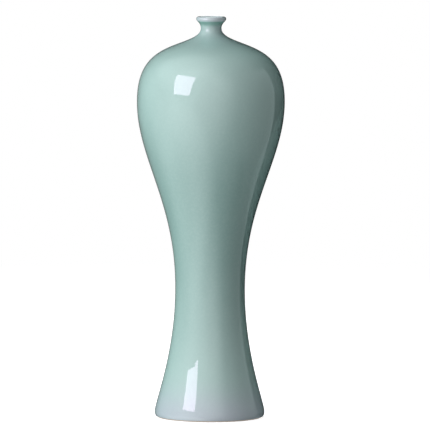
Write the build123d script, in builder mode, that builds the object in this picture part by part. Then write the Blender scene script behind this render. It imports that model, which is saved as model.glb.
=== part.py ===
"""Tall, small-mouthed porcelain vase (a meiping) in celadon glaze, standing on its foot ring.

The porcelain is thrown in four sections, which are luted together with slip: a foot with the floor
in it, a trunk, a shoulder and a neck. A thick celadon glaze covers the outside, from just above the
foot ring to the inner edge of the lip. A thinner glaze lines the inside, and a third coat covers the
recess under the floor. Every piece is a solid of revolution about Z. The origin is at the centre of
the foot ring, on the surface that the vase stands on. Sizes are in millimetres.
"""

from build123d import *

import os
from math import cos, radians, sin

# Outline of the glazed vase: the radius where the wall stands upright, and the rise to each such level
foot_radius = 54.7
foot_rise = 6.0
waist_radius = 34.7
stem_rise = 123.0
belly_radius = 73.6
trunk_rise = 186.5
throat_radius = 10.3
throat_rise = 73.1
lip_radius = 14.9
mouth_rise = 9.3

# The shoulder's straight cone: its slope, and the place of its lowest point below the throat
shoulder_slope = 20.5
shoulder_reach = 20.6
shoulder_drop = 14.8

# How far each curve keeps to its end's direction, as a share of the curve's own rise or run
foot_hold = 0.077
waist_hold_below = 0.528
waist_hold_above = 0.466
belly_hold_below = 0.306
belly_hold_above = 0.703
cone_hold_below = 0.555
cone_hold_above = 0.675
throat_hold_below = 0.453
throat_hold_above = 0.58
lip_hold = 0.30
mouth_hold = 0.35

# Thicknesses
outer_glaze_thickness = 0.8
wall = 3.6
neck_wall = 2.5
inner_glaze_thickness = 0.45
lip_thickness = 4.2
floor = 6.5
slip = 0.8

# Throat bore, floor and foot ring
bore_length = 7.0
floor_corner = 14.0
foot_rounding = 4.0
ring_width = 5.5
ring_taper = 0.7
recess_depth = 5.5
recess_corner = 1.5
base_glaze_thickness = 0.5
bare_foot = 1.5

# Height of each luted seam above the level named: two on the body, and one below the throat
lower_seam_above_waist = 0.0
upper_seam_above_waist = 141.0
neck_seam_below_throat = 7.2

# Levels, from the ground up
foot_level = foot_rise
waist_level = foot_level + stem_rise
belly_level = waist_level + trunk_rise
throat_level = belly_level + throat_rise
lip_level = throat_level + mouth_rise
top_level = lip_level + lip_thickness / 2
recess_ceiling = recess_depth + base_glaze_thickness
floor_level = recess_ceiling + floor + inner_glaze_thickness

# Values that follow from the sizes
lining_depth = outer_glaze_thickness + wall + inner_glaze_thickness
bore_radius = throat_radius - outer_glaze_thickness - neck_wall - inner_glaze_thickness
mouth_radius = lip_radius - lip_thickness
ring_outer_radius = foot_radius - foot_rounding
ring_inner_radius = ring_outer_radius - ring_width
cone_direction = Vector(-cos(radians(shoulder_slope)), sin(radians(shoulder_slope)))
cone_inward = Vector(-sin(radians(shoulder_slope)), -cos(radians(shoulder_slope)))
cone_foot = Vector(throat_radius + shoulder_reach, throat_level - shoulder_drop)
seams = [
    waist_level + lower_seam_above_waist,
    waist_level + upper_seam_above_waist,
    throat_level - neck_seam_below_throat,
]


def upright_curve(low, low_hold, high, high_hold):
    """Curve between two points where the wall stands upright."""
    rise = Vector(0, high.Y - low.Y)
    return Bezier(low, low + rise * low_hold, high - rise * high_hold, high)


def shoulder_curve(belly, depth):
    """Curve from the belly's upright wall into the shoulder's cone, depth below the glaze."""
    cone = cone_foot + cone_inward * depth
    rise = Vector(0, cone.Y - belly.Y)
    run = cone_direction * (belly.X - cone.X) * cone_hold_below
    return Bezier(belly, belly + rise * belly_hold_above, cone - run, cone)


def cove_curve(depth, throat):
    """Curve from the shoulder's cone, depth below the glaze, up into an upright throat."""
    cone = cone_foot + cone_inward * depth
    run = cone_direction * (cone.X - throat.X) * cone_hold_above
    drop = Vector(0, throat.Y - cone.Y) * throat_hold_below
    return Bezier(cone, cone + run, throat - drop, throat)


def body_curves(depth):
    """The wall's curves from foot to shoulder, for the surface that lies depth below the glaze."""
    foot = Vector(foot_radius - depth, foot_level)
    waist = Vector(waist_radius - depth, waist_level)
    belly = Vector(belly_radius - depth, belly_level)
    upright_curve(foot, foot_hold, waist, waist_hold_below)
    upright_curve(waist, waist_hold_above, belly, belly_hold_below)
    shoulder_curve(belly, depth)


def filled_outline(depth, crown_inner_radius):
    """Face of the filled vase, right of the axis, whose outside lies depth below the glaze.

    The crown of its lip ends inside the mouth at crown_inner_radius.
    """
    throat = Vector(throat_radius - depth, throat_level)
    lip = Vector(lip_radius - depth, lip_level)
    crown_end = Vector(crown_inner_radius, lip_level)
    crown_radius = (lip.X - crown_end.X) / 2
    crown_top = Vector(crown_end.X + crown_radius, lip_level + crown_radius)
    rounding = foot_rounding - depth
    with BuildSketch(Plane.XZ) as outline:
        with BuildLine():
            Line((0, 0), (ring_outer_radius, 0))
            EllipticalCenterArc((ring_outer_radius, foot_level), rounding, foot_rise, 270, arc_size=90)
            body_curves(depth)
            cove_curve(depth, throat)
            upright_curve(throat, throat_hold_above, lip, lip_hold)
            ThreePointArc(lip, crown_top, crown_end)
            Polyline(crown_end, (0, lip_level), (0, 0))
        make_face()
    return outline.sketch_local


def cavity_outline(lining):
    """Face of the hollow inside, right of the axis, out to where it meets lining deep of glaze."""
    depth = lining_depth - lining
    bore_top = Vector(bore_radius + lining, throat_level + bore_length / 2)
    bore_bottom = Vector(bore_top.X, throat_level - bore_length / 2)
    mouth = Vector(mouth_radius + lining, lip_level)
    with BuildSketch(Plane.XZ) as hollow:
        with BuildLine():
            Line((0, 0), (foot_radius - depth, 0))
            Line((foot_radius - depth, 0), (foot_radius - depth, foot_level))
            body_curves(depth)
            cove_curve(depth, bore_bottom)
            Line(bore_bottom, bore_top)
            upright_curve(bore_top, mouth_hold, mouth, mouth_hold)
            Polyline(mouth, (0, lip_level), (0, 0))
        make_face()
        Rectangle(4 * foot_radius, 2 * (floor_level - lining), mode=Mode.SUBTRACT)
        floor_edge = hollow.vertices().group_by(Axis.Y)[0].sort_by(Axis.X)[-1]
        fillet(floor_edge, floor_corner + lining)
    return hollow.sketch_local


def keep_between(low, high):
    """Cuts the open sketch in the XZ plane down to the strip between two heights."""
    with Locations((0, low)):
        Rectangle(belly_radius, high - low, align=(Align.MIN, Align.MIN), mode=Mode.INTERSECT)


# Profiles in the XZ plane, right of the axis
glazed_outline = filled_outline(0, mouth_radius)
bare_outline = filled_outline(outer_glaze_thickness, mouth_radius + inner_glaze_thickness)
lined_hollow = cavity_outline(0)
bare_hollow = cavity_outline(inner_glaze_thickness)

with BuildSketch(Plane.XZ) as foot_recess:
    with BuildLine():
        Line((0, 0), (ring_inner_radius, 0))
        Line((ring_inner_radius, 0), (ring_inner_radius - ring_taper, recess_ceiling))
        Polyline((ring_inner_radius - ring_taper, recess_ceiling), (0, recess_ceiling), (0, 0))
    make_face()
    fillet(foot_recess.vertices().group_by(Axis.Y)[-1].sort_by(Axis.X)[-1], recess_corner)

with BuildSketch(Plane.XZ) as porcelain_profile:
    add(bare_outline)
    add(bare_hollow, mode=Mode.SUBTRACT)
    add(foot_recess.sketch_local, mode=Mode.SUBTRACT)

# Porcelain sections, from the ground up, with the slip that lutes each one to the next
section_names = ["foot_section", "trunk_section", "shoulder_section", "neck_section"]
slip_names = ["lower_slip_joint", "upper_slip_joint", "neck_slip_joint"]
section_starts = [0, *(seam + slip / 2 for seam in seams)]
section_ends = [*(seam - slip / 2 for seam in seams), top_level]

pieces = []
for name, start, end in zip(section_names, section_starts, section_ends):
    with BuildPart() as section:
        with BuildSketch(Plane.XZ):
            add(porcelain_profile.sketch_local)
            keep_between(start, end)
        revolve(axis=Axis.Z)
    section.part.label = name
    pieces.append(section.part)

for name, start, end in zip(slip_names, section_ends, section_starts[1:]):
    with BuildPart() as slip_joint:
        with BuildSketch(Plane.XZ):
            add(porcelain_profile.sketch_local)
            keep_between(start, end)
        revolve(axis=Axis.Z)
    slip_joint.part.label = name
    pieces.append(slip_joint.part)

# Celadon glaze on the outside: it stops short of the ground and goes over the lip
with BuildPart() as outer_glaze:
    with BuildSketch(Plane.XZ):
        add(glazed_outline)
        add(bare_outline, mode=Mode.SUBTRACT)
        keep_between(bare_foot, top_level)
    revolve(axis=Axis.Z)
outer_glaze.part.label = "outer_glaze"
pieces.append(outer_glaze.part)

# Thin glaze poured through the inside
with BuildPart() as inner_glaze:
    with BuildSketch(Plane.XZ):
        add(bare_hollow)
        add(lined_hollow, mode=Mode.SUBTRACT)
    revolve(axis=Axis.Z)
inner_glaze.part.label = "inner_glaze"
pieces.append(inner_glaze.part)

# Glaze on the ceiling of the foot's recess
with BuildPart() as base_glaze:
    with BuildSketch(Plane.XZ):
        add(foot_recess.sketch_local)
        keep_between(recess_ceiling - base_glaze_thickness, recess_ceiling)
    revolve(axis=Axis.Z)
base_glaze.part.label = "base_glaze"
pieces.append(base_glaze.part)

os.makedirs("parts", exist_ok=True)
for piece in pieces:
    export_step(piece, f"parts/{piece.label}.step")
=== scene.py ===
"""Looks of the celadon vase: each piece is turned on the axis from its CAD section, then glazed and lit.

Lengths are in metres and angles in degrees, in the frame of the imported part: +Z up, with the origin at the
centre of the foot ring. An azimuth of 0 faces the camera, and it grows towards the camera's right.
"""

from collections import defaultdict
from math import ceil, cos, pi, radians, sin

import bpy
import numpy as np
from mathutils import Euler, Matrix, Vector, noise


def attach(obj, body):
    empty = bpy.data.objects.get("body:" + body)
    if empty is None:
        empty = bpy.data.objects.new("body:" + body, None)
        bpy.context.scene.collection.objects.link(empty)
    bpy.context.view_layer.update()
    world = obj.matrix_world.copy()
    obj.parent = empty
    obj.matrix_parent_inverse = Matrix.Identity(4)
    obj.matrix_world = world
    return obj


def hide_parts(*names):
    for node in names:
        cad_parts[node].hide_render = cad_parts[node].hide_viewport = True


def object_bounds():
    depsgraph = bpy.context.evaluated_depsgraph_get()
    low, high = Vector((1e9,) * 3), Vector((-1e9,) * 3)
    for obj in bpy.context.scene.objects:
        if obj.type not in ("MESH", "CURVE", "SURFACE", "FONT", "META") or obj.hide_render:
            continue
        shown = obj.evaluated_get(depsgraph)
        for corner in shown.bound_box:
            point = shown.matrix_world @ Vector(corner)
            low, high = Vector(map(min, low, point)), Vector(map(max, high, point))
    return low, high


MM = 0.001

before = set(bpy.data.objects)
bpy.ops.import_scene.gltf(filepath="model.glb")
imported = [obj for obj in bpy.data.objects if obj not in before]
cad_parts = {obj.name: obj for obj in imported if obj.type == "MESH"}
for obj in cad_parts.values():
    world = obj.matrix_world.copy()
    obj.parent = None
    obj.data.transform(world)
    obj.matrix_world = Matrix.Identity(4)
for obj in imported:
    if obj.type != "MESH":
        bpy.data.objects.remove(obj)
cad_low, cad_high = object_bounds()
height = cad_high.z


# Sections: each CAD node's outline in the half plane right of the axis


def section_points(node):
    """The node's outline in the half plane y = 0, x > 0, in order, and True if it is a closed loop."""
    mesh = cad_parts[node].data
    on_seam = {
        vertex.index: (round(vertex.co.x, 7), round(vertex.co.z, 7))
        for vertex in mesh.vertices
        if abs(vertex.co.y) < 1e-7 and vertex.co.x > -1e-7
    }
    neighbours = defaultdict(set)
    for edge in mesh.edges:
        first, second = (on_seam.get(index) for index in edge.vertices)
        if first and second and first != second:
            neighbours[first].add(second)
            neighbours[second].add(first)
    ends = sorted(point for point, near in neighbours.items() if len(near) == 1)
    start = ends[0] if ends else min(neighbours)
    path = [start]
    while True:
        onward = sorted(neighbours[path[-1]].difference(path))
        if not onward:
            break
        path.append(onward[0])
    if ends:
        path = [(0, path[0][1]), *path, (0, path[-1][1])]
    return np.array(path), not ends


def corner_indices(points, closed):
    """Where the outline turns by more than a smooth curve does."""
    sharpest_curve = radians(24)
    before = points - np.roll(points, 1, axis=0)
    after = np.roll(points, -1, axis=0) - points
    turn = np.arctan2(
        before[:, 0] * after[:, 1] - before[:, 1] * after[:, 0], (before * after).sum(axis=1)
    )
    corners = np.flatnonzero(np.abs(turn) > sharpest_curve)
    if closed:
        return corners
    return np.unique([0, *corners, len(points) - 1])


def spline_through(points, longest_step):
    """Points on the natural cubic spline through the given ones, none further apart than longest_step.

    Every stretch is split at least once, because the given points lie closest where the curve is tightest.
    """
    chords = np.linalg.norm(np.diff(points, axis=0), axis=1)
    if len(points) == 2:
        share = np.linspace(0, 1, ceil(chords[0] / longest_step) + 1)[:, None]
        return points[0] + share * (points[1] - points[0])
    count = len(points)
    system = np.eye(count)
    known = np.zeros((count, 2))
    for i in range(1, count - 1):
        system[i, i - 1 : i + 2] = chords[i - 1], 2 * (chords[i - 1] + chords[i]), chords[i]
        known[i] = 6 * (
            (points[i + 1] - points[i]) / chords[i] - (points[i] - points[i - 1]) / chords[i - 1]
        )
    bend = np.linalg.solve(system, known)
    fewest_pieces = 2
    made = []
    for i, chord in enumerate(chords):
        pieces = max(ceil(chord / longest_step), fewest_pieces)
        share = np.arange(pieces)[:, None] / pieces
        rest = 1 - share
        cubic = (rest**3 - rest) * bend[i] + (share**3 - share) * bend[i + 1]
        made.append(rest * points[i] + share * points[i + 1] + cubic * chord**2 / 6)
    return np.vstack([*made, points[-1:]])


def fine_section(node, longest_step):
    """The node's outline resampled finely.

    Returns its points, which of them are corners, and True if it is a closed loop.
    """
    points, closed = section_points(node)
    corners = corner_indices(points, closed)
    if closed:
        points = np.roll(points, -corners[0], axis=0)
        points = np.vstack([points, points[:1]])
        corners = np.append(corners - corners[0], len(points) - 1)
    runs = [
        spline_through(points[start : end + 1], longest_step)[:-1]
        for start, end in zip(corners[:-1], corners[1:])
    ]
    starts = np.cumsum([0, *(len(run) for run in runs)])
    fine = np.vstack(runs)
    if not closed:
        fine = np.vstack([fine, points[-1:]])
    is_corner = np.zeros(len(fine), bool)
    is_corner[starts[starts < len(fine)]] = True
    return fine, is_corner, closed


def outward(points, closed):
    """Unit normals of the outline, pointing out of the solid, and its unit tangents."""
    if closed:
        tangent = np.roll(points, -1, axis=0) - np.roll(points, 1, axis=0)
    else:
        tangent = np.gradient(points, axis=0)
    tangent /= np.maximum(np.linalg.norm(tangent, axis=1), 1e-12)[:, None]
    normal = np.stack([tangent[:, 1], -tangent[:, 0]], axis=1)
    following = np.roll(points, -1, axis=0)
    area = (points[:, 0] * following[:, 1] - following[:, 0] * points[:, 1]).sum()
    return normal * np.sign(area), tangent


# Relief: how far each point of a turned surface lies off its section


def smoothstep(low, high, value):
    """0 below low, 1 above high, and smooth between them."""
    share = min(max((value - low) / (high - low), 0.0), 1.0)
    return share * share * (3 - 2 * share)


def no_relief(place, azimuth, facing_out):
    """A surface as the CAD has it."""
    return 0.0, 0.0


def thrown_relief(place, azimuth, facing_out):
    """The slow unevenness of a thrown wall under a glaze that flowed, on the outer side only."""
    if not facing_out:
        return 0.0, glaze_edge_rise(place, azimuth)
    broad_span, broad_height = 55 * MM, 0.06 * MM
    fine_span, fine_height = 16 * MM, 0.012 * MM
    throwing_pitch, throwing_height = 9.5 * MM, 0.006 * MM
    roll_height = 0.16 * MM
    broad = noise.noise(place / broad_span) * broad_height
    fine = noise.noise(place / fine_span + Vector((7, 3, 1))) * fine_height
    ripple = sin(place.z / throwing_pitch * 2 * pi - azimuth) * throwing_height
    roll_start = smoothstep(0.0, 2.2 * MM, place.z)
    roll_end = 1 - smoothstep(2.4 * MM, 6.5 * MM, place.z)
    roll = roll_height * roll_start * roll_end
    return broad + fine + ripple + roll, glaze_edge_rise(place, azimuth)


def glaze_edge_rise(place, azimuth):
    """How far the glaze's lower edge is drawn up along the wall, because no dipped edge is level."""
    mean_rise_mm = 0.12
    around = Vector((cos(azimuth), sin(azimuth), 0))
    slow_wave_mm = 0.30 * noise.noise(around * 1.7)
    quick_wave_mm = 0.14 * noise.noise(around * 6.0 + Vector((0, 0, 5)))
    closeness = 1 - smoothstep(1.0 * MM, 6.0 * MM, place.z)
    return (mean_rise_mm + slow_wave_mm + quick_wave_mm) * MM * closeness


def pooled_relief(place, azimuth, facing_out):
    """A poured glaze that settled unevenly."""
    pool_span, pool_height = 21 * MM, 0.05 * MM
    return noise.noise(place / pool_span) * pool_height, 0.0


def trimmed_relief(place, azimuth, facing_out):
    """Fine rings left by the trimming tool on a bare foot."""
    trimmed_level = 5.2 * MM
    ring_pitch, chatter_span = 0.9 * MM, 2.6 * MM
    if place.z > trimmed_level:
        return 0.0, 0.0
    rings = noise.noise(Vector((place.xy.length / ring_pitch, place.z / ring_pitch, 0.3)))
    chatter = noise.noise(place / chatter_span)
    return (0.03 * rings + 0.02 * chatter - 0.03) * MM, 0.0


# Turning a section into a mesh


def turned(name, node, turns, longest_step, relief):
    """Closed mesh of the node's section turned about the axis, with its relief."""
    points, is_corner, closed = fine_section(node, longest_step)
    normal, tangent = outward(points, closed)
    tangent *= np.sign(tangent[:, 1:] + 1e-9)
    at_axis = points[:, 0] < 1e-6
    mesh = bpy.data.meshes.new(name)
    vertices = []
    rows = []
    for i, (radius, level) in enumerate(points):
        if at_axis[i]:
            rows.append([len(vertices)] * turns)
            vertices.append((0, 0, level))
            continue
        rows.append(list(range(len(vertices), len(vertices) + turns)))
        for step in range(turns):
            azimuth = step / turns * 2 * pi
            place = Vector((radius * cos(azimuth), radius * sin(azimuth), level))
            rise, slide = relief(place, azimuth, normal[i, 0] > 0)
            moved = points[i] + normal[i] * rise + tangent[i] * slide
            vertices.append((moved[0] * cos(azimuth), moved[0] * sin(azimuth), moved[1]))
    faces = []
    pairs = list(zip(range(len(rows) - 1), range(1, len(rows))))
    if closed:
        pairs.append((len(rows) - 1, 0))
    for low, high in pairs:
        for step in range(turns):
            following = (step + 1) % turns
            corners = [rows[low][step], rows[low][following], rows[high][following], rows[high][step]]
            faces.append(list(dict.fromkeys(corners)))
    following = np.roll(points, -1, axis=0)
    if (points[:, 0] * following[:, 1] - following[:, 0] * points[:, 1]).sum() < 0:
        faces = [face[::-1] for face in faces]
    mesh.from_pydata(vertices, [], faces)
    mesh.polygons.foreach_set("use_smooth", [True] * len(mesh.polygons))
    sharp = {
        frozenset((row[step], row[(step + 1) % turns]))
        for row, corner in zip(rows, is_corner)
        if corner
        for step in range(turns)
    }
    for edge in mesh.edges:
        edge.use_edge_sharp = frozenset(edge.vertices) in sharp
    mesh.validate()
    piece = bpy.data.objects.new(name, mesh)
    bpy.context.scene.collection.objects.link(piece)
    return piece


# Materials


class Nodes:
    """Short ways to add and join the nodes of one material or world."""

    def __init__(self, owner):
        owner.use_nodes = True
        self.tree = owner.node_tree
        self.tree.nodes.clear()

    def feed(self, socket, value):
        """Gives a socket its value, or links it to another node's output socket."""
        if isinstance(value, bpy.types.NodeSocket):
            self.tree.links.new(value, socket)
        else:
            socket.default_value = value

    def add(self, kind, inputs=None, **settings):
        """A node of that kind, with its inputs and settings."""
        node = self.tree.nodes.new(kind)
        for key, value in settings.items():
            setattr(node, key, value)
        for key, value in (inputs or {}).items():
            self.feed(node.inputs[key], value)
        return node

    def noise(self, vector, scale, detail=2.0, roughness=0.5):
        """Noise of about that many waves a metre."""
        inputs = {"Vector": vector, "Scale": scale, "Detail": detail, "Roughness": roughness}
        return self.add("ShaderNodeTexNoise", inputs).outputs["Fac"]

    def math(self, operation, first, second=0.0):
        """Result of one sum on two values."""
        return self.add("ShaderNodeMath", {0: first, 1: second}, operation=operation).outputs[0]

    def ramp(self, value, low, high, start=0.0, end=1.0):
        """Start below low, end above high, and smooth between them."""
        inputs = {"Value": value, "From Min": low, "From Max": high, "To Min": start, "To Max": end}
        return self.add("ShaderNodeMapRange", inputs, interpolation_type="SMOOTHSTEP").outputs["Result"]

    def mix(self, factor, first, second):
        """Colour that goes from the first to the second as the factor goes from 0 to 1."""
        node = self.add("ShaderNodeMix", data_type="RGBA")
        colour_inputs = [socket for socket in node.inputs if socket.type == "RGBA"]
        for socket, value in zip([node.inputs[0], *colour_inputs], [factor, first, second]):
            self.feed(socket, value)
        return next(socket for socket in node.outputs if socket.type == "RGBA")

    def bump(self, height, strength, depth):
        """Normal that a relief of that depth tilts."""
        inputs = {"Height": height, "Strength": strength, "Distance": depth}
        return self.add("ShaderNodeBump", inputs).outputs["Normal"]

    def surface(self, inputs):
        """Ends the material in a Principled shader with those inputs."""
        shader = self.add("ShaderNodeBsdfPrincipled", inputs)
        self.add("ShaderNodeOutputMaterial", {"Surface": shader.outputs["BSDF"]})


def colour(red, green, blue):
    """Linear colour with full alpha."""
    return (red, green, blue, 1.0)


def object_place(nodes):
    """The place on the object, and its height, as sockets."""
    place = nodes.add("ShaderNodeTexCoord").outputs["Object"]
    level = nodes.add("ShaderNodeSeparateXYZ", {"Vector": place}).outputs["Z"]
    return place, level


def celadon_material():
    """Thick glossy celadon: deeper where it pools, darker towards the waist (partly deeper glaze, partly
    painted shade of the downward-facing trunk), thin and pale on the lip, and paler towards the foot.
    """
    material = bpy.data.materials.new("celadon_glaze")
    nodes = Nodes(material)
    place, level = object_place(nodes)
    pale = colour(0.480, 0.583, 0.570)
    deep_and_shaded_green = colour(0.297, 0.405, 0.390)
    greyish = colour(0.440, 0.510, 0.522)
    pooled = colour(0.150, 0.330, 0.270)
    thin = colour(0.610, 0.585, 0.640)
    foot = colour(0.530, 0.505, 0.590)
    milky = colour(0.80, 0.86, 0.84)
    shoulder_level, cove_level, neck_level = 0.92 * height, 0.91 * height, 0.955 * height
    waist_level, middle_level = 0.53 * height, 0.5 * height
    # Painted shade: darker towards the waist, where the lower trunk faces down, added on top of the glaze's
    # own deeper tone there.
    deep_glaze_and_painted_shade = nodes.math(
        "MULTIPLY",
        nodes.ramp(level, shoulder_level, waist_level),
        nodes.ramp(level, 0.0, middle_level),
    )
    drift = nodes.ramp(nodes.noise(place, 22.0, 3.0), 0.30, 0.70, -0.04, 0.04)
    tone = nodes.mix(nodes.math("ADD", deep_glaze_and_painted_shade, drift), pale, deep_and_shaded_green)
    cove = nodes.ramp(level, cove_level, neck_level, 0.0, 0.75)
    tone = nodes.mix(cove, tone, greyish)
    under_lip = nodes.math(
        "MULTIPLY",
        nodes.ramp(level, height - 11 * MM, height - 6 * MM),
        nodes.ramp(level, height - 5.0 * MM, height - 4.2 * MM, 1.0, 0.0),
    )
    tone = nodes.mix(nodes.math("MULTIPLY", under_lip, 0.60), tone, pooled)
    lip = nodes.ramp(level, height - 4.8 * MM, height - 3.8 * MM)
    tone = nodes.mix(nodes.math("MULTIPLY", lip, 0.9), tone, thin)
    wander = nodes.math("MULTIPLY", nodes.noise(place, 30.0), 10 * MM)
    near_foot = nodes.ramp(nodes.math("ADD", level, wander), 6 * MM, 52 * MM, 1.0, 0.0)
    tone = nodes.mix(nodes.math("MULTIPLY", near_foot, 0.8), tone, foot)
    cloud = nodes.ramp(nodes.noise(place, 420.0, 3.0, 0.6), 0.35, 0.75, 0.0, 0.05)
    tone = nodes.mix(cloud, tone, milky)
    peel = nodes.noise(place, 260.0, 2.0)
    pits = nodes.add("ShaderNodeTexVoronoi", {"Vector": place, "Scale": 210.0}).outputs["Distance"]
    pit = nodes.ramp(pits, 0.015, 0.07, -1.0, 0.0)
    relief = nodes.math("ADD", nodes.math("MULTIPLY", peel, 0.5), nodes.math("MULTIPLY", pit, 0.35))
    nodes.surface(
        {
            "Base Color": tone,
            "Roughness": nodes.ramp(peel, 0.2, 0.8, 0.012, 0.03),
            "IOR": 1.5,
            "Coat Weight": 1.0,
            "Coat IOR": 1.1,
            "Coat Roughness": 0.02,
            "Coat Tint": colour(0.88, 0.985, 0.97),
            "Normal": nodes.bump(relief, 0.05, 0.2 * MM),
        }
    )
    return material


def liner_material():
    """Thin glaze of the inside and of the recess: paler, with the porcelain showing through."""
    material = bpy.data.materials.new("liner_glaze")
    nodes = Nodes(material)
    place, _ = object_place(nodes)
    streak = nodes.ramp(nodes.noise(place, 45.0, 3.0), 0.3, 0.7)
    greener, whiter = colour(0.52, 0.66, 0.62), colour(0.64, 0.72, 0.70)
    tone = nodes.mix(streak, greener, whiter)
    peel = nodes.noise(place, 300.0, 2.0)
    nodes.surface(
        {
            "Base Color": tone,
            "Roughness": nodes.ramp(peel, 0.2, 0.8, 0.08, 0.16),
            "IOR": 1.5,
            "Normal": nodes.bump(peel, 0.10, 0.2 * MM),
        }
    )
    return material


def porcelain_material():
    """Matt fired porcelain: warm white, toasted along the glaze's edge, with specks and turning rings."""
    material = bpy.data.materials.new("porcelain")
    nodes = Nodes(material)
    place, level = object_place(nodes)
    dark, light = colour(0.66, 0.60, 0.53), colour(0.74, 0.70, 0.64)
    toasted, iron = colour(0.42, 0.33, 0.26), colour(0.22, 0.15, 0.10)
    grain = nodes.noise(place, 900.0, 4.0, 0.65)
    tone = nodes.mix(nodes.ramp(grain, 0.3, 0.7), dark, light)
    uneven_level = nodes.math("ADD", level, nodes.math("MULTIPLY", grain, 0.8 * MM))
    toast = nodes.ramp(uneven_level, 0.2 * MM, 1.5 * MM)
    low_part = nodes.ramp(level, 2.0 * MM, 4.0 * MM, 1.0, 0.0)
    toast = nodes.math("MULTIPLY", toast, nodes.math("MULTIPLY", low_part, 0.8))
    tone = nodes.mix(toast, tone, toasted)
    specks = nodes.add("ShaderNodeTexVoronoi", {"Vector": place, "Scale": 520.0}).outputs["Distance"]
    tone = nodes.mix(nodes.ramp(specks, 0.05, 0.12, 0.5, 0.0), tone, iron)
    stretched = nodes.add("ShaderNodeMapping", {"Vector": place, "Scale": (60.0, 60.0, 1400.0)})
    rings = nodes.noise(stretched.outputs["Vector"], 1.0, 2.0)
    relief = nodes.math("ADD", nodes.math("MULTIPLY", grain, 0.6), nodes.math("MULTIPLY", rings, 0.7))
    nodes.surface(
        {
            "Base Color": tone,
            "Roughness": nodes.ramp(grain, 0.2, 0.8, 0.62, 0.82),
            "IOR": 1.45,
            "Normal": nodes.bump(relief, 0.35, 0.15 * MM),
        }
    )
    return material


def slip_material():
    """Fired slip between the sections: a little greyer and coarser than the porcelain."""
    material = bpy.data.materials.new("slip")
    nodes = Nodes(material)
    place, _ = object_place(nodes)
    grain = nodes.noise(place, 620.0, 4.0, 0.7)
    dark, light = colour(0.56, 0.53, 0.48), colour(0.70, 0.67, 0.62)
    tone = nodes.mix(nodes.ramp(grain, 0.3, 0.7), dark, light)
    nodes.surface(
        {
            "Base Color": tone,
            "Roughness": nodes.ramp(grain, 0.2, 0.8, 0.7, 0.9),
            "IOR": 1.45,
            "Normal": nodes.bump(grain, 0.5, 0.2 * MM),
        }
    )
    return material


# Pieces


celadon = celadon_material()
liner = liner_material()
porcelain = porcelain_material()
slip = slip_material()

piece_rows = [
    # name, CAD node, material slot, material, points round, longest step in mm, relief
    ("celadon_coat", "outer_glaze", "celadon_glaze", celadon, 240, 2.6, thrown_relief),
    ("inner_lining", "inner_glaze", "liner_glaze", liner, 160, 4.0, pooled_relief),
    ("recess_glaze", "base_glaze", "liner_glaze", liner, 160, 2.5, pooled_relief),
    ("porcelain_foot", "foot_section", "porcelain", porcelain, 200, 2.5, trimmed_relief),
    ("porcelain_trunk", "trunk_section", "porcelain", porcelain, 128, 5.0, no_relief),
    ("porcelain_shoulder", "shoulder_section", "porcelain", porcelain, 128, 5.0, no_relief),
    ("porcelain_neck", "neck_section", "porcelain", porcelain, 96, 2.0, no_relief),
    ("lower_seam_slip", "lower_slip_joint", "slip", slip, 96, 1.0, no_relief),
    ("upper_seam_slip", "upper_slip_joint", "slip", slip, 128, 1.0, no_relief),
    ("neck_seam_slip", "neck_slip_joint", "slip", slip, 64, 1.0, no_relief),
]

for name, node, slot, material, turns, longest_step, relief in piece_rows:
    piece = turned(name, node, turns, longest_step * MM, relief)
    piece.data.materials.append(material)
    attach(piece, "root")
    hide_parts(node)


# Studio

ROOM_GREY = 0.79


def direction(azimuth, elevation):
    """Unit vector from the vase towards an azimuth and an elevation in the studio."""
    around, up = radians(azimuth), radians(elevation)
    return Vector((sin(around) * cos(up), -cos(around) * cos(up), sin(up)))


def softbox(name, azimuth, distance, level, width, length, lean, radiance, tint=(1, 1, 1)):
    """Glowing panel that the camera doesn't see.

    It faces the axis, and its top leans forward by lean degrees. Its radiance is a pair: at the edge with the
    lesser azimuth, and at the other.
    """
    mesh = bpy.data.meshes.new(name)
    corners = [(x * width / 2, y * length / 2, 0) for x, y in ((-1, -1), (1, -1), (1, 1), (-1, 1))]
    mesh.from_pydata(corners, [], [range(4)])
    panel = bpy.data.objects.new(name, mesh)
    upright = Matrix.Rotation(radians(90 - lean), 4, "X")
    panel.matrix_world = (
        Matrix.Translation(direction(azimuth, 0) * distance + Vector((0, 0, level)))
        @ Matrix.Rotation(radians(azimuth), 4, "Z")
        @ upright
    )
    bpy.context.scene.collection.objects.link(panel)
    material = bpy.data.materials.new(name)
    nodes = Nodes(material)
    place = nodes.add("ShaderNodeTexCoord").outputs["Object"]
    across = nodes.add("ShaderNodeSeparateXYZ", {"Vector": place}).outputs["X"]
    strength = nodes.ramp(across, -width / 2, width / 2, *radiance)
    glow = nodes.add("ShaderNodeEmission", {"Color": colour(*tint), "Strength": strength})
    nodes.add("ShaderNodeOutputMaterial", {"Surface": glow.outputs["Emission"]})
    mesh.materials.append(material)
    panel.visible_camera = False
    return panel


def white_sweep(nodes, along):
    """1 in directions towards the white backdrop behind the vase, and 0 towards the grey room elsewhere."""
    grey_until, white_from = 0.2, 0.8
    level = nodes.add("ShaderNodeVectorMath", {0: along, 1: (1, 1, 0)}, operation="MULTIPLY").outputs[0]
    flat = nodes.add("ShaderNodeVectorMath", {0: level}, operation="NORMALIZE").outputs[0]
    backwards = nodes.add("ShaderNodeSeparateXYZ", {"Vector": flat}).outputs["Y"]
    return nodes.ramp(backwards, grey_until, white_from)


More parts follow.
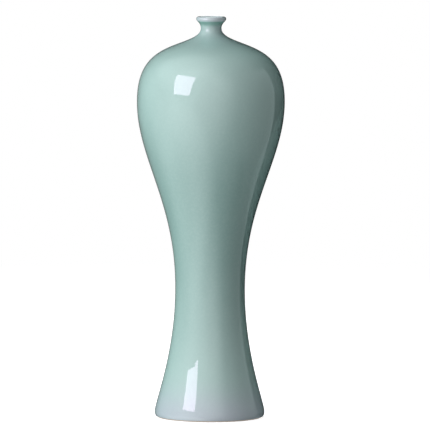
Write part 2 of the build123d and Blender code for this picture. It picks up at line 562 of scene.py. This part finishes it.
def studio_world():
    """Soft light, mostly from the front left. The camera sees a white sweep in a pale grey room."""
    world = bpy.data.worlds.new("studio")
    bpy.context.scene.world = world
    nodes = Nodes(world)
    ray = nodes.add("ShaderNodeTexCoord").outputs["Generated"]
    lobes = [
        # azimuth, elevation, full inside, none outside, radiance
        (-19, 10, 27, 64, 1.00),
        (-63, -44, 4, 56, 1.45),
        (-75, 56, 7, 50, 1.25),
        (-78, 6, 80, 110, 0.24),
    ]
    total = None
    for azimuth, elevation, inside, outside, radiance in lobes:
        axis = tuple(direction(azimuth, elevation))
        closeness = nodes.add("ShaderNodeVectorMath", {0: ray, 1: axis}, operation="DOT_PRODUCT")
        strength = nodes.ramp(
            closeness.outputs["Value"], cos(radians(outside)), cos(radians(inside)), 0.0, radiance
        )
        total = strength if total is None else nodes.math("ADD", total, strength)
    light = nodes.add("ShaderNodeBackground", {"Color": colour(1, 1, 1), "Strength": total})
    brightness = nodes.ramp(white_sweep(nodes, ray), 0.0, 1.0, ROOM_GREY, 1.0)
    backdrop = nodes.add("ShaderNodeBackground", {"Color": colour(1, 1, 1), "Strength": brightness})
    seen = nodes.add("ShaderNodeLightPath").outputs["Is Camera Ray"]
    mixed = nodes.add("ShaderNodeMixShader", {0: seen, 1: light.outputs[0], 2: backdrop.outputs[0]})
    nodes.add("ShaderNodeOutputWorld", {"Surface": mixed.outputs[0]})


def pale_floor(radius, glow):
    """Table top, white round the vase and behind it, and pale grey elsewhere.

    From below it can be seen through, so that the foot can be looked at.
    """
    mesh = bpy.data.meshes.new("floor")
    sides = 96
    rim = [(radius * cos(a), radius * sin(a), 0) for a in np.linspace(0, 2 * pi, sides + 1)[:-1]]
    mesh.from_pydata(rim, [], [range(len(rim))])
    floor = bpy.data.objects.new("floor", mesh)
    bpy.context.scene.collection.objects.link(floor)
    material = bpy.data.materials.new("floor")
    nodes = Nodes(material)
    near_reach, far_start = 0.4, 1.8
    paint = nodes.add("ShaderNodeBsdfDiffuse", {"Color": colour(0.86, 0.86, 0.88)})
    light = nodes.add("ShaderNodeEmission", {"Color": colour(1, 1, 1), "Strength": glow})
    close = nodes.add("ShaderNodeAddShader", {0: paint.outputs[0], 1: light.outputs[0]})
    place = nodes.add("ShaderNodeTexCoord").outputs["Object"]
    brightness = nodes.ramp(white_sweep(nodes, place), 0.0, 1.0, ROOM_GREY, 1.0)
    far = nodes.add("ShaderNodeEmission", {"Color": colour(1, 1, 1), "Strength": brightness})
    away = nodes.add("ShaderNodeVectorMath", {0: place}, operation="LENGTH").outputs["Value"]
    near = nodes.ramp(away, near_reach, far_start, 1.0, 0.0)
    above = nodes.add("ShaderNodeMixShader", {0: near, 1: far.outputs[0], 2: close.outputs[0]})
    clear = nodes.add("ShaderNodeBsdfTransparent")
    below = nodes.add("ShaderNodeNewGeometry").outputs["Backfacing"]
    sided = nodes.add("ShaderNodeMixShader", {0: below, 1: above.outputs[0], 2: clear.outputs[0]})
    nodes.add("ShaderNodeOutputMaterial", {"Surface": sided.outputs[0]})
    mesh.materials.append(material)
    floor.visible_diffuse = False
    floor.visible_glossy = False


def studio_camera():
    """Long lens a little above the vase, aimed just right of its axis, with a hand-set head's slight roll."""
    view_elevation = 4.5
    distance = 7.0
    frame_height = height * 1.071
    aim = Vector((4.6 * MM, 0, height * 0.5055))
    roll = 0.25
    data = bpy.data.cameras.new("camera")
    data.sensor_width = 36.0
    data.lens = data.sensor_width * distance / frame_height
    data.clip_end = 100.0
    camera = bpy.data.objects.new("camera", data)
    back = direction(0, view_elevation)
    camera.location = aim + back * distance
    upright = (-back).to_track_quat("-Z", "Y")
    camera.rotation_euler = (upright @ Euler((0, 0, radians(roll))).to_quaternion()).to_euler()
    bpy.context.scene.collection.objects.link(camera)
    bpy.context.scene.camera = camera


key = {"azimuth": -46, "distance": 1.43, "level": 0.90, "width": 0.82, "length": 0.89, "lean": 36}
key_sheen = softbox("key_sheen", **key, radiance=(9.6, 9.6), tint=(1.0, 0.79, 0.98))
key_shade = softbox("key_shade", **key, radiance=(3.1, 3.1))
reflector = softbox(
    "reflector", azimuth=84, distance=1.0, level=0.33, width=1.25, length=1.5, lean=0,
    radiance=(0.12, 0.68), tint=(0.98, 0.98, 1.0),
)
softbox(
    "back_strip", azimuth=180, distance=1.6, level=1.27, width=0.40, length=0.66, lean=20,
    radiance=(5.0, 5.0),
)
left_back_fill = softbox(
    "left_back_fill", azimuth=-135, distance=1.4, level=0.1, width=1.2, length=1.2, lean=-10,
    radiance=(4.0, 4.0),
)
right_back_fill = softbox(
    "right_back_fill", azimuth=138, distance=1.2, level=-0.35, width=1.2, length=1.2, lean=-25,
    radiance=(7.0, 7.0),
)
for panel in (key_sheen, reflector):
    panel.visible_diffuse = False
for panel in (key_shade, left_back_fill, right_back_fill):
    panel.visible_glossy = False
studio_world()
pale_floor(radius=20.0, glow=0.70)
studio_camera()

bpy.context.scene.view_settings.view_transform = "Standard"
